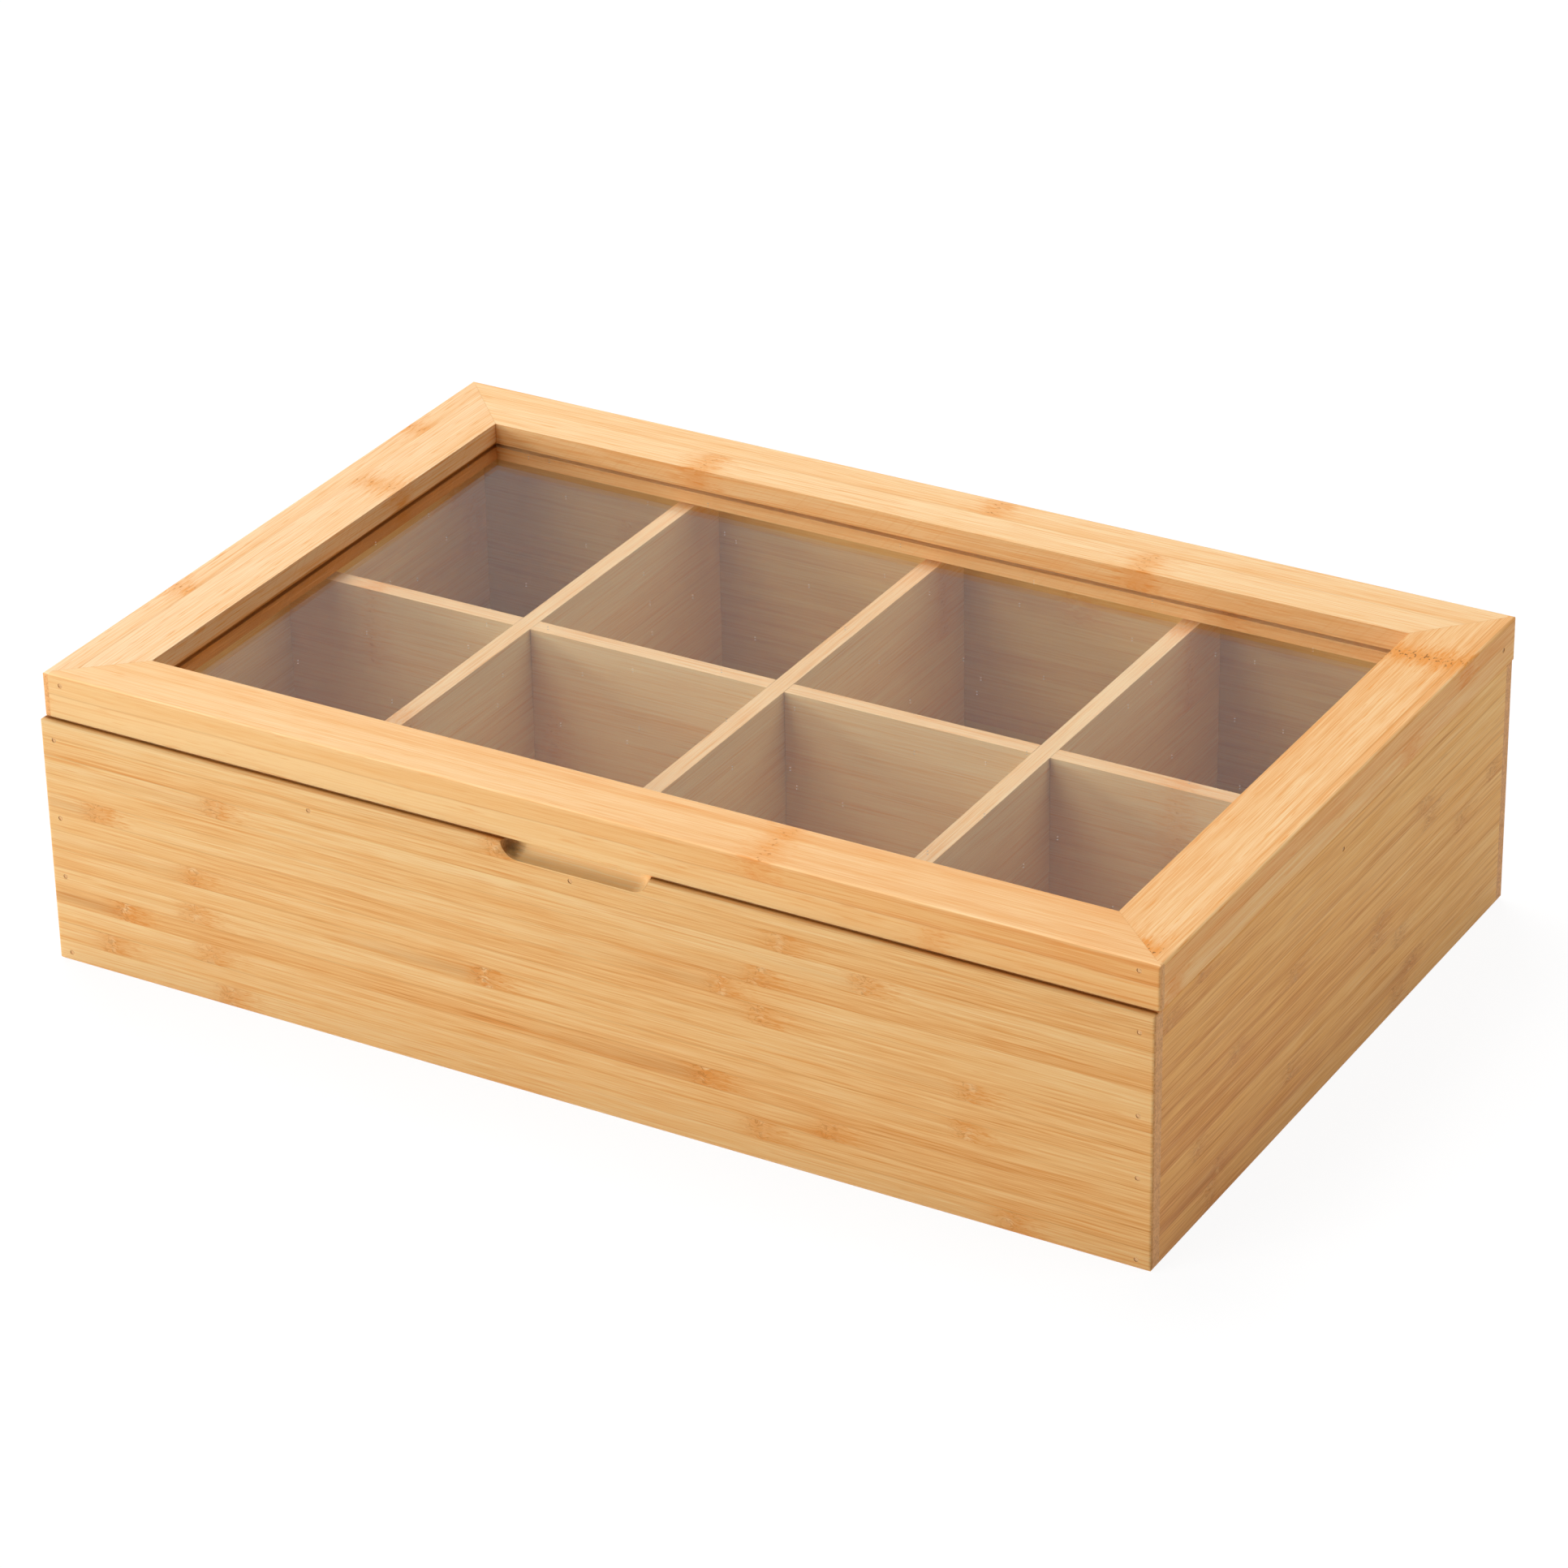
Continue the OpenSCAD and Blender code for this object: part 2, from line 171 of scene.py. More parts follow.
def lookUp(tree, row, entries):  # one constant step of a ramp per row, four numbers each
    node = addNode(tree, "ValToRGB")
    table = node.color_ramp
    table.interpolation = "CONSTANT"
    while len(table.elements) < len(entries):
        table.elements.new(0.99)
    for index, entry in enumerate(entries):
        table.elements[index].position = index / len(entries)
        table.elements[index].color = entry
    while len(table.elements) > len(entries):
        table.elements.remove(table.elements[-1])
    plug(tree, node.inputs[0], calc(tree, "DIVIDE", calc(tree, "ADD", row, 0.5), float(len(entries))))
    split = addNode(tree, "SeparateColor")
    tree.links.new(node.outputs[0], split.inputs[0])
    return [*split.outputs, node.outputs[1]]


def packed(distance):
    return distance / (2 * tableReach) + 0.5


def unpacked(tree, value):
    return calc(tree, "MULTIPLY", centred(tree, value), 2 * tableReach)


# A strip is its width, the places of its joints along the board, its tone and how burnt the joints are.
# These settings are for the strips of faces with no joints of their own: each gets two, well apart.
drawnStrips = {"jointGap": 230.0, "gapSpread": (0.8, 1.1), "burn": 0.5}


def drawStrips(seed, widths, reach, tones):
    draw = random.Random(seed)
    strips = []
    for width in widths:
        first = draw.uniform(-reach, reach)
        second = first + drawnStrips["jointGap"] * draw.uniform(*drawnStrips["gapSpread"])
        if second >= reach:
            second = first - drawnStrips["jointGap"] * draw.uniform(*drawnStrips["gapSpread"])
        strips.append((width, (first, second), draw.uniform(*tones), drawnStrips["burn"]))
    return strips


def rowOf(tree, across, widths):  # the number of the strip at this distance across the board
    row, edge = None, 0.0
    for width in widths[:-1]:
        edge += width
        step = calc(tree, "GREATER_THAN", across, edge)
        row = step if row is None else calc(tree, "ADD", row, step)
    return 0.0 if row is None else row


look = {
    "light": tint(252, 217, 167),
    "middle": tint(247, 199, 140),
    "dark": tint(235, 166, 96),
    "deep": tint(200, 128, 58),
    "middleAt": 0.4,  # the tones at which the middle and the dark colour stand
    "darkAt": 0.75,
    "line": tint(235, 153, 66),
    "joint": tint(202, 124, 46),
    # the dark colour of pits and scorch, and of the painted shade at the notch's left end
    "pitAndShade": tint(116, 80, 36),
    "cream": tint(253, 220, 164),
    "endLight": tint(234, 174, 110),
    "endDark": tint(208, 146, 86),
    "insideHazeAndShade": (0.91, 1.06, 1.12, 1.0),  # painted haze and shade: the faces inside the box, greyer and bluer, as the pane's reflection veils them
    "insideCalm": 0.35,  # and less streaky
    "edgeTint": (1.0, 1.0, 1.0, 1.0),  # for the strips' narrow sides
    "fibre": 1.15,  # how much the fibres change the tone
    "hair": 0.7,  # and the finest ones among them
    "hairLines": 0.14,  # a thin orange tinge along the finest fibres
    "streak": 0.46,
    "band": 0.5,
    "skin": 0.14,  # one side of a strip lay nearer the cane's skin, and is darker
    "lines": 0.55,
    "dashes": 0.4,
    "seam": 0.35,
    "joints": 1.0,
    "smear": 0.36,  # the brown shadow that runs out from a joint
    "notched": False,  # True where the finger notch is cut
    "cut": tint(255, 214, 148),  # the fibres that the notch's cutter bared, made paler still as painted light where the lid shades the notch
    "cutStreak": tint(255, 233, 185),  # and the palest among them, also partly painted light
    "rimPaintedShade": None,  # painted shade: the tint that darkens the rim's outer ledge in front of the lid, standing for the lid's shadow
    "flatGrain": False,  # True where the strips' wide sides show
    "sawMarks": 0.0,
    "slope": 0.0,  # change of tone per millimetre along the board
    "edgeSlope": 0.0,  # and a further one on the strips' narrow sides
    "wave": 0.5,  # millimetres by which the strips' edges wander
    "seamWave": 0.0,  # and the seam between two layers
    "mitres": (),  # lines across a rail's ends: place at the lip, place at the window, the rail's width
    "marks": (),  # dark marks: place, size and darkness; the one at the notch is partly a pit, partly painted shade
    "seed": 0.0,
}

# Kinds of streak: length and thickness in millimetres, a shift in the noise that sets them apart, its detail
# and roughness, and the noise between which they begin and end to show.
grains = {
    "ragged": {"length": 14.0, "thick": 1.6, "detail": 3.0, "rough": 0.6},  # how unevenly a joint runs
    "swirl": {"length": 4.0, "thick": 2.4, "detail": 1.0},  # how far it sweeps the fibres aside
    "fibre": {"length": 45.0, "thick": 0.7, "detail": 3.0, "rough": 0.7},
    "hair": {"length": 16.0, "thick": 0.3, "apart": 43.0, "detail": 1.0},
    "streak": {"length": 90.0, "thick": 1.3, "apart": 17.0},
    "band": {"length": 200.0, "thick": 4.0, "detail": 1.0},
    "line": {"length": 40.0, "thick": 0.6, "apart": 31.0, "detail": 1.0, "shows": (0.56, 0.68)},
    "dash": {"length": 9.0, "thick": 0.6, "apart": 57.0, "detail": 1.0, "shows": (0.66, 0.76)},
    "flatDash": {"length": 9.0, "thick": 0.6, "apart": 57.0, "detail": 1.0, "shows": (0.58, 0.76)},
    "comb": {"length": 4.0, "thick": 0.45, "apart": 83.0, "rough": 0.6, "shows": (0.5, 0.62)},
    "flatComb": {"length": 6.0, "thick": 0.8, "apart": 83.0, "rough": 0.6, "shows": (0.5, 0.66)},
    "dots": {"length": 1.3, "thick": 0.9, "detail": 1.0, "shows": (0.58, 0.7)},
    "folds": {"length": 2.6, "thick": 1.0, "detail": 1.0},
    "bared": {"length": 25.0, "thick": 0.4, "apart": 61.0, "detail": 3.0, "rough": 0.7,
              "shows": (0.48, 0.64)},
}

# Where the strips lie and how a joint bends the fibres, in millimetres.
strip = {
    "wanderPace": 0.025,  # steps of noise per millimetre along the board
    "rowShift": 7.3,  # steps of noise from one strip to the next
    "noSeam": 50.0,  # added at the board's own edges, which have no glue seam
    "ragged": 5.0, "swirlWidth": 4.0, "swirlReach": 3.2,
    "innerFrom": 0.05, "innerTo": 0.2,  # where the inside's tint sets in, past the outer ply
}
# The noise of the fibres or streaks between which each of these sets in, then how strongly, if not 0 to 1.
setsIn = {
    "hairLines": (0.42, 0.64), "lines": (0.36, 0.60, 0.25, 1.0), "dashes": (0.36, 0.56), "seam": (0.35, 0.62),
    "skin": (0.3, 1.0, -0.5, 0.5),  # by the share of the way across the strip
}

# The marks of a joint: millimetres past it, millimetres wide, and strength.
leastBurnt = 0.5  # the strength of a joint that isn't burnt at all
sideJoint = {"warm": (1.5, 5.0, 0.42), "comb": (4.0, 7.0, 0.75), "folds": (0.0, 3.2, 0.5),
             "core": (0.8, 1.4, 0.44), "foldLine": 0.05, "coreSwirl": 0.1,
             "smearAlong": (-62.0, -2.0), "smearBurn": (0.3, 1.0), "smearStreak": (0.3, 0.6, 0.5, 1.0),
             "smearMiddle": 0.55, "smearWidth": 0.34}
flatJoint = {"warm": (0.0, 4.5, 0.4), "comb": (0.0, 8.0, 0.7), "dots": (0.0, 1.7, 0.75),
             "scorch": 0.5, "scorchBurn": (0.8, 1.0)}


def readBoard(tree, settings):  # places along, across and into the board, and which way the surface faces
    points, normals = millimetres(tree)
    alongAxis, acrossAxis = "xyz".index(settings["along"]), "xyz".index(settings["across"])
    intoAxis = 3 - alongAxis - acrossAxis
    wood = SimpleNamespace(settings=settings, points=points, up=normals[2])
    wood.along = points[alongAxis]
    fromStart = calc(tree, "SUBTRACT", points[acrossAxis], settings["start"])
    wood.across = product(tree, fromStart, settings["step"])
    fromFace = calc(tree, "SUBTRACT", points[intoAxis], settings["face"])
    wood.into = product(tree, fromFace, settings["inward"])
    wood.alongNormal = normals[alongAxis]
    wood.acrossNormal = normals[acrossAxis]
    wood.intoNormal = normals[intoAxis]
    return wood


def findStrip(tree, wood):  # which strip this is, its joints and tone, and how far its edges are
    settings = wood.settings
    spot = place(tree, calc(tree, "MULTIPLY", wood.along, strip["wanderPace"]), settings["seed"], 0.5)
    wander = centred(tree, noise(tree, spot))
    across = calc(tree, "MULTIPLY_ADD", wander, settings["wave"], wood.across)
    wood.wavyInto = calc(tree, "MULTIPLY_ADD", wander, settings["seamWave"], wood.into)
    row, depth, count, entries, borders = None, 0.0, 0, [], []
    for thickness, strips in settings["layers"]:
        own = rowOf(tree, across, [width for width, joints, tone, burn in strips])
        if row is None:
            row = calc(tree, "ADD", own, 0.0)  # a socket, even where the layer is one strip
        else:
            below = calc(tree, "GREATER_THAN", wood.wavyInto, depth)
            own = calc(tree, "ADD", own, float(count))
            row = calc(tree, "MULTIPLY_ADD", below, calc(tree, "SUBTRACT", own, row), row)
        edge = 0.0
        for index, (width, joints, tone, burn) in enumerate(strips):
            first, second = (list(joints) + [farAway, farAway])[:2]
            entries.append((packed(first), packed(second), tone, burn))
            ends = float(index == 0), float(index == len(strips) - 1)
            borders.append((packed(edge), packed(edge + width), *ends))
            edge += width
        depth += thickness
        count += len(strips)
    firstJoint, secondJoint, wood.tone, wood.burn = lookUp(tree, row, entries)
    lowEdge, highEdge, isFirst, isLast = lookUp(tree, row, borders)
    wood.shift = calc(tree, "MULTIPLY", row, strip["rowShift"])
    fromLow = calc(tree, "SUBTRACT", across, unpacked(tree, lowEdge))
    fromHigh = calc(tree, "SUBTRACT", unpacked(tree, highEdge), across)
    wood.share = calc(tree, "DIVIDE", fromLow, calc(tree, "ADD", fromLow, fromHigh))
    wood.fromEdge = calc(tree, "MINIMUM", calc(tree, "MULTIPLY_ADD", isFirst, strip["noSeam"], fromLow),
                         calc(tree, "MULTIPLY_ADD", isLast, strip["noSeam"], fromHigh))
    # Distance along the strip to its nearer joint, with the joint a little ragged.
    fromFirst = calc(tree, "SUBTRACT", wood.along, unpacked(tree, firstJoint))
    fromSecond = calc(tree, "SUBTRACT", wood.along, unpacked(tree, secondJoint))
    nearer = calc(tree, "LESS_THAN", calc(tree, "ABSOLUTE", fromFirst), calc(tree, "ABSOLUTE", fromSecond))
    offset = calc(tree, "MULTIPLY_ADD", nearer, calc(tree, "SUBTRACT", fromFirst, fromSecond), fromSecond)
    ragged = centred(tree, grain(tree, wood, "ragged"))
    wood.offset = calc(tree, "MULTIPLY_ADD", ragged, strip["ragged"], offset)


def grain(tree, wood, name, across=None):  # streaks of this kind, straight or swept round the joints
    kind = grains[name]
    shift = calc(tree, "ADD", wood.shift, kind["apart"]) if "apart" in kind else wood.shift
    across = wood.across if across is None else across
    spot = place(tree, calc(tree, "MULTIPLY_ADD", wood.along, 1 / kind["length"], wood.settings["seed"]),
                 calc(tree, "MULTIPLY_ADD", across, 1 / kind["thick"], shift),
                 calc(tree, "MULTIPLY", wood.into, 1 / kind["thick"]))
    value = noise(tree, spot, kind.get("detail", 2.0), kind.get("rough", 0.5))
    return ramp(tree, value, *kind["shows"]) if "shows" in kind else value


def layFibres(tree, wood):  # the colour of the fibres, which swirl round the joints
    settings = wood.settings
    wood.swirl = centred(tree, grain(tree, wood, "swirl"))
    bend = product(tree, hump(tree, wood.offset, strip["swirlWidth"]), wood.swirl)
    wood.swept = calc(tree, "MULTIPLY_ADD", bend, strip["swirlReach"], wood.across)
    wood.fibre = grain(tree, wood, "fibre", wood.swept)
    wood.streak = grain(tree, wood, "streak", wood.swept)
    wood.band = grain(tree, wood, "band", wood.swept)
    hair = grain(tree, wood, "hair", wood.swept)
    line = grain(tree, wood, "line", wood.swept)
    dash = grain(tree, wood, "flatDash" if settings["flatGrain"] else "dash", wood.swept)
    outerPly = settings["layers"][0][0]
    if settings["seamWave"]:
        wood.inside = 0.0
    elif settings["flatGrain"]:
        wood.inside = faces(tree, wood.intoNormal)
    else:
        wood.inside = ramp(tree, wood.into, outerPly + strip["innerFrom"], outerPly + strip["innerTo"])
    wood.calm = calc(tree, "MULTIPLY_ADD", wood.inside, -settings["insideCalm"], 1.0)
    wood.fresh = centred(tree, wood.fibre)
    change = total(tree, product(tree, wood.fresh, settings["fibre"]),
                   product(tree, centred(tree, hair), settings["hair"]),
                   product(tree, centred(tree, wood.streak), settings["streak"]),
                   product(tree, centred(tree, wood.band), settings["band"]),
                   product(tree, ramp(tree, wood.share, *setsIn["skin"]), settings["skin"]))
    wood.narrowSide = faces(tree, wood.acrossNormal)
    slope = calc(tree, "MULTIPLY_ADD", wood.narrowSide, settings["edgeSlope"], settings["slope"])
    shade = total(tree, wood.tone, product(tree, change, wood.calm), product(tree, wood.along, slope))
    tones = addNode(tree, "ValToRGB")
    tones.color_ramp.elements[0].color = settings["light"]
    tones.color_ramp.elements[1].color = settings["deep"]
    tones.color_ramp.elements.new(settings["middleAt"]).color = settings["middle"]
    tones.color_ramp.elements.new(settings["darkAt"]).color = settings["dark"]
    plug(tree, tones.inputs[0], shade)
    # Orange lines gather where the streaks are darkest; short dashes lie between them.
    hairLine = product(tree, ramp(tree, hair, *setsIn["hairLines"]), wood.calm, settings["hairLines"])
    line = product(tree, line, ramp(tree, wood.streak, *setsIn["lines"]), wood.calm, settings["lines"])
    dash = product(tree, dash, ramp(tree, wood.streak, *setsIn["dashes"]), wood.calm, settings["dashes"])
    colour = tones.outputs[0]
    for share in (hairLine, line, dash):
        colour = blend(tree, share, colour, settings["line"])
    return colour


def atJoint(tree, wood, mark, *shares):  # how strongly this mark of a joint shows here
    past, width, strength = mark
    return product(tree, hump(tree, wood.offset, width, past), *shares, wood.strength, strength)


def flatJoints(tree, wood, colour):  # on the strips' wide sides: a comb of lines and a row of dots
    settings = wood.settings
    warm = atJoint(tree, wood, flatJoint["warm"])
    comb = atJoint(tree, wood, flatJoint["comb"], grain(tree, wood, "flatComb"))
    dots = atJoint(tree, wood, flatJoint["dots"], grain(tree, wood, "dots"), faces(tree, wood.intoNormal))
    scorch = product(tree, dots, ramp(tree, wood.burn, *flatJoint["scorchBurn"]), flatJoint["scorch"])
    for share, paint in ((warm, "line"), (comb, "line"), (dots, "joint"), (scorch, "pitAndShade")):
        colour = blend(tree, share, colour, settings[paint])
    return colour


def sideJoints(tree, wood, colour):  # on the strips' narrow sides: a smear, curled folds, a comb of lines
    settings = wood.settings
    before = product(tree, ramp(tree, wood.offset, *sideJoint["smearAlong"]),
                     ramp(tree, wood.burn, *sideJoint["smearBurn"]),
                     calc(tree, "LESS_THAN", wood.offset, 0.0))
    middle = hump(tree, wood.share, sideJoint["smearWidth"], sideJoint["smearMiddle"])
    smear = product(tree, before, middle, wood.strength,
                    ramp(tree, wood.streak, *sideJoint["smearStreak"]), settings["smear"])
    folds = calc(tree, "ABSOLUTE", centred(tree, grain(tree, wood, "folds", wood.swept)))
    folds = ramp(tree, folds, 0.0, sideJoint["foldLine"], 1.0, 0.0)
    folds = atJoint(tree, wood, sideJoint["folds"], folds)
    core = atJoint(tree, wood, sideJoint["core"], ramp(tree, wood.swirl, 0.0, sideJoint["coreSwirl"]))
    warm = atJoint(tree, wood, sideJoint["warm"])
    comb = atJoint(tree, wood, sideJoint["comb"], grain(tree, wood, "comb", wood.swept))
    for share, paint in ((smear, "deep"), (warm, "line"), (core, "cream"), (folds, "joint"),
                         (comb, "line")):
        colour = blend(tree, share, colour, settings[paint])
    return colour


# Seams, the lid's worked edges, the rim and the notch: millimetres, unless a share or a facing is meant.
worked = {"seamWidth": 0.18, "glueWidth": 0.22, "glueShare": 0.28,
          "lip": 1.9, "mitreWidth": 0.16, "mitreShare": 0.25,
          "sawFrom": 1.0, "sawSlant": 0.9, "sawPace": 0.9, "sawShows": (0.5, 0.7),
          "rimFacing": (0.2, 0.7), "rimHeight": 1.0, "rimDeepens": (0.3, 1.7), "rimDepth": 1.95,
          # The notch's painted light is fullest at its front edge, where the lid shades it.
          "notchFacing": (0.3, 0.6), "notchFrom": 0.9, "notchLightFades": (1.0, 5.0, 1.0, 0.75), "baredShare": 0.6}


def glueSeams(tree, wood, colour):  # between strips and between layers
    settings = wood.settings
    seam = product(tree, hump(tree, wood.fromEdge, worked["seamWidth"]),
                   ramp(tree, wood.band, *setsIn["seam"]), settings["seam"])
    colour = blend(tree, seam, colour, settings["joint"])
    if not settings["seamWave"]:
        # painted haze and shade: the faces inside the box take the inside tint
        return blend(tree, wood.inside, colour, settings["insideHazeAndShade"], "MULTIPLY")
    glue = hump(tree, wood.wavyInto, worked["glueWidth"], settings["layers"][0][0])
    colour = blend(tree, product(tree, glue, wood.narrowSide, worked["glueShare"]), colour, settings["joint"])
    return blend(tree, wood.narrowSide, colour, settings["edgeTint"], "MULTIPLY")


def lidEdges(tree, wood, colour):  # marks of the saw at the window, and the lines where the rails meet
    settings = wood.settings
    if settings["sawMarks"]:
        slanted = calc(tree, "MULTIPLY_ADD", wood.into, worked["sawSlant"], wood.along)
        spot = place(tree, calc(tree, "MULTIPLY", slanted, worked["sawPace"]), 0.0, settings["seed"])
        marks = ramp(tree, noise(tree, spot, roughness=0.6), *worked["sawShows"])
        marks = product(tree, marks, wood.narrowSide,
                        calc(tree, "GREATER_THAN", wood.across, worked["sawFrom"]), settings["sawMarks"])
        colour = blend(tree, marks, colour, settings["dark"])
    lip = worked["lip"]
    for atLip, atWindow, width in settings["mitres"]:
        lean = (atWindow - atLip) / (width - lip)
        line = calc(tree, "MULTIPLY_ADD", calc(tree, "SUBTRACT", wood.across, lip), -lean, wood.along)
        line = product(tree, hump(tree, line, worked["mitreWidth"], atLip),
                       calc(tree, "GREATER_THAN", wood.across, lip), worked["mitreShare"])
        colour = blend(tree, line, colour, settings["joint"])
    return colour


def wallEdges(tree, wood, colour):  # the rim's painted shade, and the bared fibres of the notch with painted light
    settings = wood.settings
    if settings["rimPaintedShade"]:
        # painted shade: the rim's ledge is darkened towards the lid's foot, as the lid's shadow
        paintedShade = product(tree, ramp(tree, wood.acrossNormal, *worked["rimFacing"]),
                       calc(tree, "LESS_THAN", wood.across, worked["rimHeight"]),
                       ramp(tree, wood.into, *worked["rimDeepens"]),
                       calc(tree, "LESS_THAN", wood.into, worked["rimDepth"]))
        colour = blend(tree, paintedShade, colour, settings["rimPaintedShade"], "MULTIPLY")
    if settings["notched"]:
        # the notch: bared fibres that are really paler, plus painted light that is strongest at the front
        # edge, in the lid's shade
        cut = product(tree, ramp(tree, wood.up, *worked["notchFacing"]),
                      calc(tree, "GREATER_THAN", wood.across, worked["notchFrom"]))
        outer = ramp(tree, wood.into, *worked["notchLightFades"])
        colour = blend(tree, product(tree, cut, outer), colour, settings["cut"])
        bared = product(tree, cut, grain(tree, wood, "bared"), worked["baredShare"])
        colour = blend(tree, bared, colour, settings["cutStreak"])
    return colour


endGrain = {"pace": 1.7, "lean": 0.10, "shows": (0.35, 0.75), "facing": 0.55}


def boardEnds(tree, wood, colour):  # cut ends of the fibres, and small dark marks, partly pits and partly painted shade
    settings = wood.settings
    pores = place(tree, calc(tree, "MULTIPLY", wood.across, endGrain["pace"]),
                  calc(tree, "MULTIPLY", wood.into, endGrain["pace"]), wood.shift)
    pores = calc(tree, "MULTIPLY_ADD", wood.share, endGrain["lean"], noise(tree, pores, roughness=0.6))
    pores = ramp(tree, pores, *endGrain["shows"])
    ends = blend(tree, pores, settings["endLight"], settings["endDark"])
    colour = blend(tree, faces(tree, wood.alongNormal, endGrain["facing"]), colour, ends)
    # dark marks: partly pits, partly painted shade
    for spot, size, darkness in settings["marks"]:
        away = addNode(tree, "VectorMath", operation="DISTANCE")
        tree.links.new(place(tree, *wood.points), away.inputs[0])
        away.inputs[1].default_value = spot
        edge = calc(tree, "MULTIPLY_ADD", wood.fresh, size, away.outputs["Value"])
        colour = blend(tree, product(tree, ramp(tree, edge, 0.0, size, 1.0, 0.0), darkness), colour,
                       settings["pitAndShade"])
    return colour


# Satin oil over open fibres. The roughness is that of the fibres' noise from low to high.
oil = {"low": 0.3, "high": 0.7, "smooth": 0.46, "rough": 0.62, "gloss": 0.28,
       "bump": 0.2, "bumpMetres": 0.00005}


def bamboo(name, board):
    settings = {**look, **board}
    finish, tree, shader = newFinish(name)
    wood = readBoard(tree, settings)
    findStrip(tree, wood)
    colour = layFibres(tree, wood)
    wood.strength = product(tree, calc(tree, "ADD", wood.burn, leastBurnt), wood.calm, settings["joints"])
    markJoints = flatJoints if settings["flatGrain"] else sideJoints
    for paint in (markJoints, glueSeams, lidEdges, wallEdges, boardEnds):
        colour = paint(tree, wood, colour)
    tree.links.new(colour, shader.inputs["Base Color"])
    plug(tree, shader.inputs["Roughness"],
         ramp(tree, wood.fibre, oil["low"], oil["high"], oil["smooth"], oil["rough"]))
    shader.inputs["Specular IOR Level"].default_value = oil["gloss"]
    addBump(tree, shader, wood.fibre, oil["bump"], oil["bumpMetres"])
    return finish


# Walls: an outer ply of narrow strips on edge and an inner ply of wide ones.
wall = {
    "outerPly": 4.0, "innerPly": 4.0, "rim": 70.4, "reach": {"x": 150.0, "y": 95.0},
    "outside": {"front": -102.5, "back": 102.5, "left": -158.0, "right": 158.0},
    "narrowWidths": [5.4] * 14, "narrowTones": (0.25, 0.6),
    "wideWidths": [17.0, 18.5, 17.5, 19.0], "wideTones": (0.3, 0.5),
}
frontColours = {"light": tint(254, 213, 150), "middle": tint(249, 196, 126), "dark": tint(234, 162, 86)}
wallLooks = {
    # the rim tint on the front wall is painted shade on the ledge under the lid's front edge
    # the slope darkens the front wall towards the right: partly its own tone, partly painted shade of light
    # falling from the left
    "front": {**frontColours, "slope": 0.0006, "rimPaintedShade": (0.40, 0.26, 0.09, 1.0), "notched": True,
              "marks": [((-18.4, -100.0, 68.4), 4.4, 0.74)]},  # a dark mark at the notch's left end: partly dark end grain, partly painted shade of the notch's end wall
    "right": {"light": tint(251, 204, 130), "middle": tint(243, 181, 98), "dark": tint(219, 145, 67),
              "deep": tint(184, 116, 52), "line": tint(212, 140, 68), "cream": tint(238, 190, 120),
              # the right wall's strongly bluish inside tint is painted haze
              "joint": tint(176, 108, 48), "joints": 0.75, "insideHazeAndShade": (0.94, 1.14, 1.55, 1.0),
              "slope": -0.0016, "fibre": 0.95, "streak": 0.32, "band": 0.3},
    # painted shade: the back wall's inner face is tinted darker than its light leaves it
    "back": {**frontColours, "insideHazeAndShade": (0.71, 0.82, 0.79, 1.0)},
    # painted shade: the left wall's colours are the front's made darker, so that the strongly lit left side
    # doesn't wash out
    "left": {"light": tint(246, 207, 147), "middle": tint(241, 190, 123), "dark": tint(227, 157, 84)},
}
frontStrips = [
    (4.7, (-22, 170), 0.34, 0.6), (5.4, (58,), 0.44, 0.4), (5.4, (-106, 81), 0.26, 0.6),
    (5.4, (52,), 0.48, 0.6), (5.4, (-143, 41), 0.32, 0.7), (5.4, (52,), 0.46, 0.5),
    (5.4, (-114, 109), 0.36, 0.6), (5.4, (-27,), 0.36, 0.9), (5.4, (-114, 108), 0.34, 0.5),
    (5.4, (-136, 36), 0.54, 1.0), (5.4, (-110, 71), 0.40, 0.4), (5.4, (-141, 51), 0.30, 0.5),
    (7.0, (-105, 120), 0.28, 0.5),
]
rightStrips = [
    (3.3, (-78,), 0.44, 0.5), (4.5, (-95,), 0.42, 0.7), (7.2, (), 0.38, 0.5),
    (4.6, (48,), 0.46, 0.6), (5.2, (52,), 0.44, 0.6), (5.2, (-27, 92), 0.50, 0.5),
    (5.5, (-59, 72), 0.47, 0.5), (5.0, (23,), 0.51, 0.6), (5.3, (21,), 0.53, 0.6),
    (5.8, (-79, 35), 0.42, 0.5), (5.5, (-28,), 0.46, 0.5), (4.9, (-68, 43), 0.54, 0.9),
    (7.0, (-72, 35), 0.42, 0.5), (3.0, (), 0.46, 0.5),
]


def dressWall(side, nodeName, along, inward, outer, seed):
    inner = drawStrips(seed + 50, wall["wideWidths"], wall["reach"][along], wall["wideTones"])
    dress(nodeName, bamboo(side + "_wall_bamboo", {
        "along": along, "across": "z", "start": wall["rim"], "step": -1.0,
        "face": wall["outside"][side], "inward": inward,
        "layers": [(wall["outerPly"], outer), (wall["innerPly"], inner)],
        "seed": float(seed), **wallLooks[side]}))


backStrips = drawStrips(3, wall["narrowWidths"], wall["reach"]["x"], wall["narrowTones"])
leftStrips = drawStrips(4, wall["narrowWidths"], wall["reach"]["y"], wall["narrowTones"])
dressWall("front", "front_panel", "x", 1.0, frontStrips, 1)
dressWall("right", "right_side_panel", "y", -1.0, rightStrips, 2)
dressWall("back", "back_panel", "x", -1.0, backStrips, 3)
dressWall("left", "left_side_panel", "y", 1.0, leftStrips, 4)
print("walls done")

